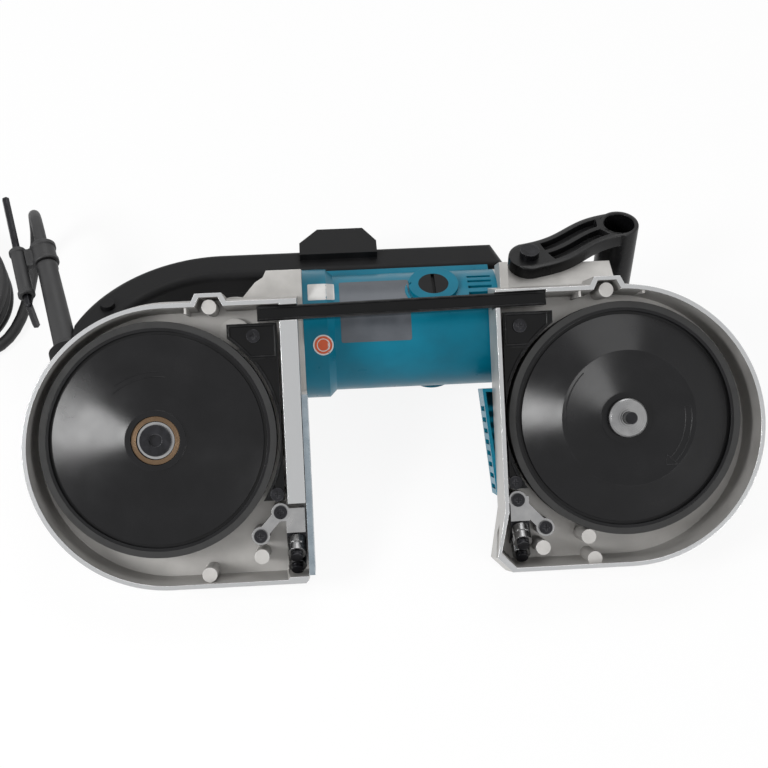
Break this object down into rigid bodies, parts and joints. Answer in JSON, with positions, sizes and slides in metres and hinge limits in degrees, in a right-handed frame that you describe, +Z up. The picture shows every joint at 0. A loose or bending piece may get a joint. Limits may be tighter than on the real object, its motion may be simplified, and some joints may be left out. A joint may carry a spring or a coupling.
{
  "type": "portable band saw",
  "caption": "Corded hand held band saw lying on its back with no blade: cast frame, two tyred wheels, geared motor, blade guides, work stop, two handles and a coiled cord.",
  "frame": {"origin": "on the table, under the middle of the box round the saw without its cord", "axes": "+X along the saw from the drive wheel to the idler wheel, +Y away from the open throat, +Z up from the table"},
  "size_m": [0.6884, 0.3922, 0.1405],
  "materials": {
    "cast_aluminium": "sand cast, satin",
    "teal_nylon": "moulded, semi gloss",
    "black_nylon": "moulded, fine texture",
    "black_paint": "gloss paint",
    "wheel_paint": "cast, black paint, semi gloss",
    "wheel_rubber": "matte",
    "zinc_steel": "zinc plated",
    "ground_steel": "ground",
    "black_steel": "black oxide",
    "bronze": "turned",
    "copper": "bare",
    "core_iron": "stacked sheet",
    "carbon": "matte",
    "cord_rubber": "matte"
  },
  "bodies": {
    "frame": {"rear_frame": "cast_aluminium", "gear_housing": "cast_aluminium", "front_frame": "cast_aluminium", "motor_housing": "teal_nylon", "front_cover": "teal_nylon", "field_core": "core_iron", "field_coils": "copper", "carbon_brushes": "carbon", "brush_caps": "black_nylon", "shaft_bearings": "ground_steel", "switch_body": "black_nylon", "front_grip": "black_nylon", "grip_bolts": "black_steel", "handle_screws": "zinc_steel", "blade_cover": "black_paint", "rear_guard": "black_paint", "front_guard": "black_paint", "rear_guide_bracket": "zinc_steel", "front_guide_bracket": "zinc_steel", "guide_holders": "black_steel", "roller_pins": "ground_steel", "guide_screws": "zinc_steel", "guard_screws": "zinc_steel", "stop_bolts": "zinc_steel", "handle_shell_near": "black_nylon", "handle_shell_far": "black_nylon", "cord_guard": "cord_rubber", "cord": "cord_rubber", "cord_coil": "cord_rubber", "key_holder": "cord_rubber", "plug_body": "black_nylon", "plug_pins": "zinc_steel"},
    "armature": {"armature_shaft": "ground_steel", "armature_core": "core_iron", "commutator": "copper", "cooling_fan": "black_nylon"},
    "first_gear_body": {"first_gear": "ground_steel"},
    "second_gear_body": {"second_gear": "ground_steel"},
    "drive_wheel_body": {"drive_wheel": "wheel_paint", "drive_tyre": "wheel_rubber", "drive_gear": "ground_steel", "spindle": "ground_steel", "hub_washer": "bronze", "hub_cap": "black_steel"},
    "tension_slide": {"idler_slide": "black_steel", "tension_spring": "black_steel", "idler_collar": "ground_steel"},
    "idler_wheel_body": {"idler_wheel": "wheel_paint", "idler_tyre": "wheel_rubber", "idler_bearings": "ground_steel"},
    "tension_lever_body": {"tension_lever": "zinc_steel"},
    "trigger_body": {"trigger": "black_nylon"},
    "lock_button_body": {"lock_button": "black_nylon"},
    "speed_dial_body": {"speed_dial": "black_nylon"},
    "stop_plate_body": {"stop_plate": "zinc_steel"},
    "rear_roller_upper_body": {"rear_roller_upper": "ground_steel"},
    "rear_roller_lower_body": {"rear_roller_lower": "ground_steel"},
    "front_roller_upper_body": {"front_roller_upper": "ground_steel"},
    "front_roller_lower_body": {"front_roller_lower": "ground_steel"},
    "hex_key_body": {"hex_key": "black_steel"}
  },
  "joints": [
    {"name": "armature_spin", "type": "hinge", "parent": "frame", "child": "armature", "pos_m": [-0.0025, 0.04745, 0.05324], "axis": [1, 0, 0], "continuous": true},
    {"name": "first_gear_spin", "type": "hinge", "parent": "frame", "child": "first_gear_body", "pos_m": [-0.10835, 0.03374, 0.07533], "axis": [0, -0.5275, 0.8495], "continuous": true},
    {"name": "second_gear_spin", "type": "hinge", "parent": "frame", "child": "second_gear_body", "pos_m": [-0.14254, 0.01529, 0.06387], "axis": [0, -0.5275, 0.8495], "continuous": true},
    {"name": "drive_wheel_spin", "type": "hinge", "parent": "frame", "child": "drive_wheel_body", "pos_m": [-0.16185, -0.04947, 0.07663], "axis": [0, -0.5275, 0.8495], "continuous": true},
    {"name": "tension_slide_move", "type": "slide", "parent": "frame", "child": "tension_slide", "axis": [1, 0, 0], "range_m": [0, 0.008]},
    {"name": "idler_wheel_spin", "type": "hinge", "parent": "tension_slide", "child": "idler_wheel_body", "pos_m": [0.15685, -0.04947, 0.07663], "axis": [0, -0.5275, 0.8495], "continuous": true},
    {"name": "tension_lever_turn", "type": "hinge", "parent": "frame", "child": "tension_lever_body", "pos_m": [0.20505, -0.02573, 0.0384], "axis": [0, 0.5275, -0.8495], "range_deg": [0, 180]},
    {"name": "trigger_pull", "type": "hinge", "parent": "frame", "child": "trigger_body", "pos_m": [-0.2124, 0.05184, 0.05221], "axis": [0, -0.2277, -0.9737], "range_deg": [0, 10], "stiffness_Nm_per_rad": 1.2, "springref_deg": -8.59},
    {"name": "lock_button_push", "type": "slide", "parent": "frame", "child": "lock_button_body", "axis": [0, -0.2277, -0.9737], "range_m": [0, 0.003], "stiffness_N_per_m": 600, "springref_m": -0.002},
    {"name": "speed_dial_turn", "type": "hinge", "parent": "frame", "child": "speed_dial_body", "pos_m": [-0.1185, 0.10475, 0.02136], "axis": [0, -0.2277, -0.9737], "range_deg": [0, 300]},
    {"name": "stop_plate_move", "type": "slide", "parent": "frame", "child": "stop_plate_body", "axis": [0, 0.8495, 0.5275], "range_m": [0, 0.02]},
    {"name": "rear_roller_upper_spin", "type": "hinge", "parent": "frame", "child": "rear_roller_upper_body", "pos_m": [-0.07185, -0.1159, 0.04095], "axis": [0, 0.9737, -0.2277], "continuous": true},
    {"name": "rear_roller_lower_spin", "type": "hinge", "parent": "frame", "child": "rear_roller_lower_body", "pos_m": [-0.07185, -0.11896, 0.0279], "axis": [0, 0.9737, -0.2277], "continuous": true},
    {"name": "front_roller_upper_spin", "type": "hinge", "parent": "frame", "child": "front_roller_upper_body", "pos_m": [0.08205, -0.1159, 0.04095], "axis": [0, 0.9737, -0.2277], "continuous": true},
    {"name": "front_roller_lower_spin", "type": "hinge", "parent": "frame", "child": "front_roller_lower_body", "pos_m": [0.08205, -0.11896, 0.0279], "axis": [0, 0.9737, -0.2277], "continuous": true},
    {"name": "hex_key_pull", "type": "slide", "parent": "frame", "child": "hex_key_body", "axis": [0.2471, -0.969, 0], "range_m": [0, 0.03]}
  ],
  "couplings": [
    {"joint": "first_gear_spin", "follows": "armature_spin", "ratio": -0.25},
    {"joint": "second_gear_spin", "follows": "armature_spin", "ratio": 0.056818},
    {"joint": "drive_wheel_spin", "follows": "armature_spin", "ratio": -0.013528},
    {"joint": "tension_lever_turn", "follows": "tension_slide_move", "rad_per_m": 392.7}
  ]
}
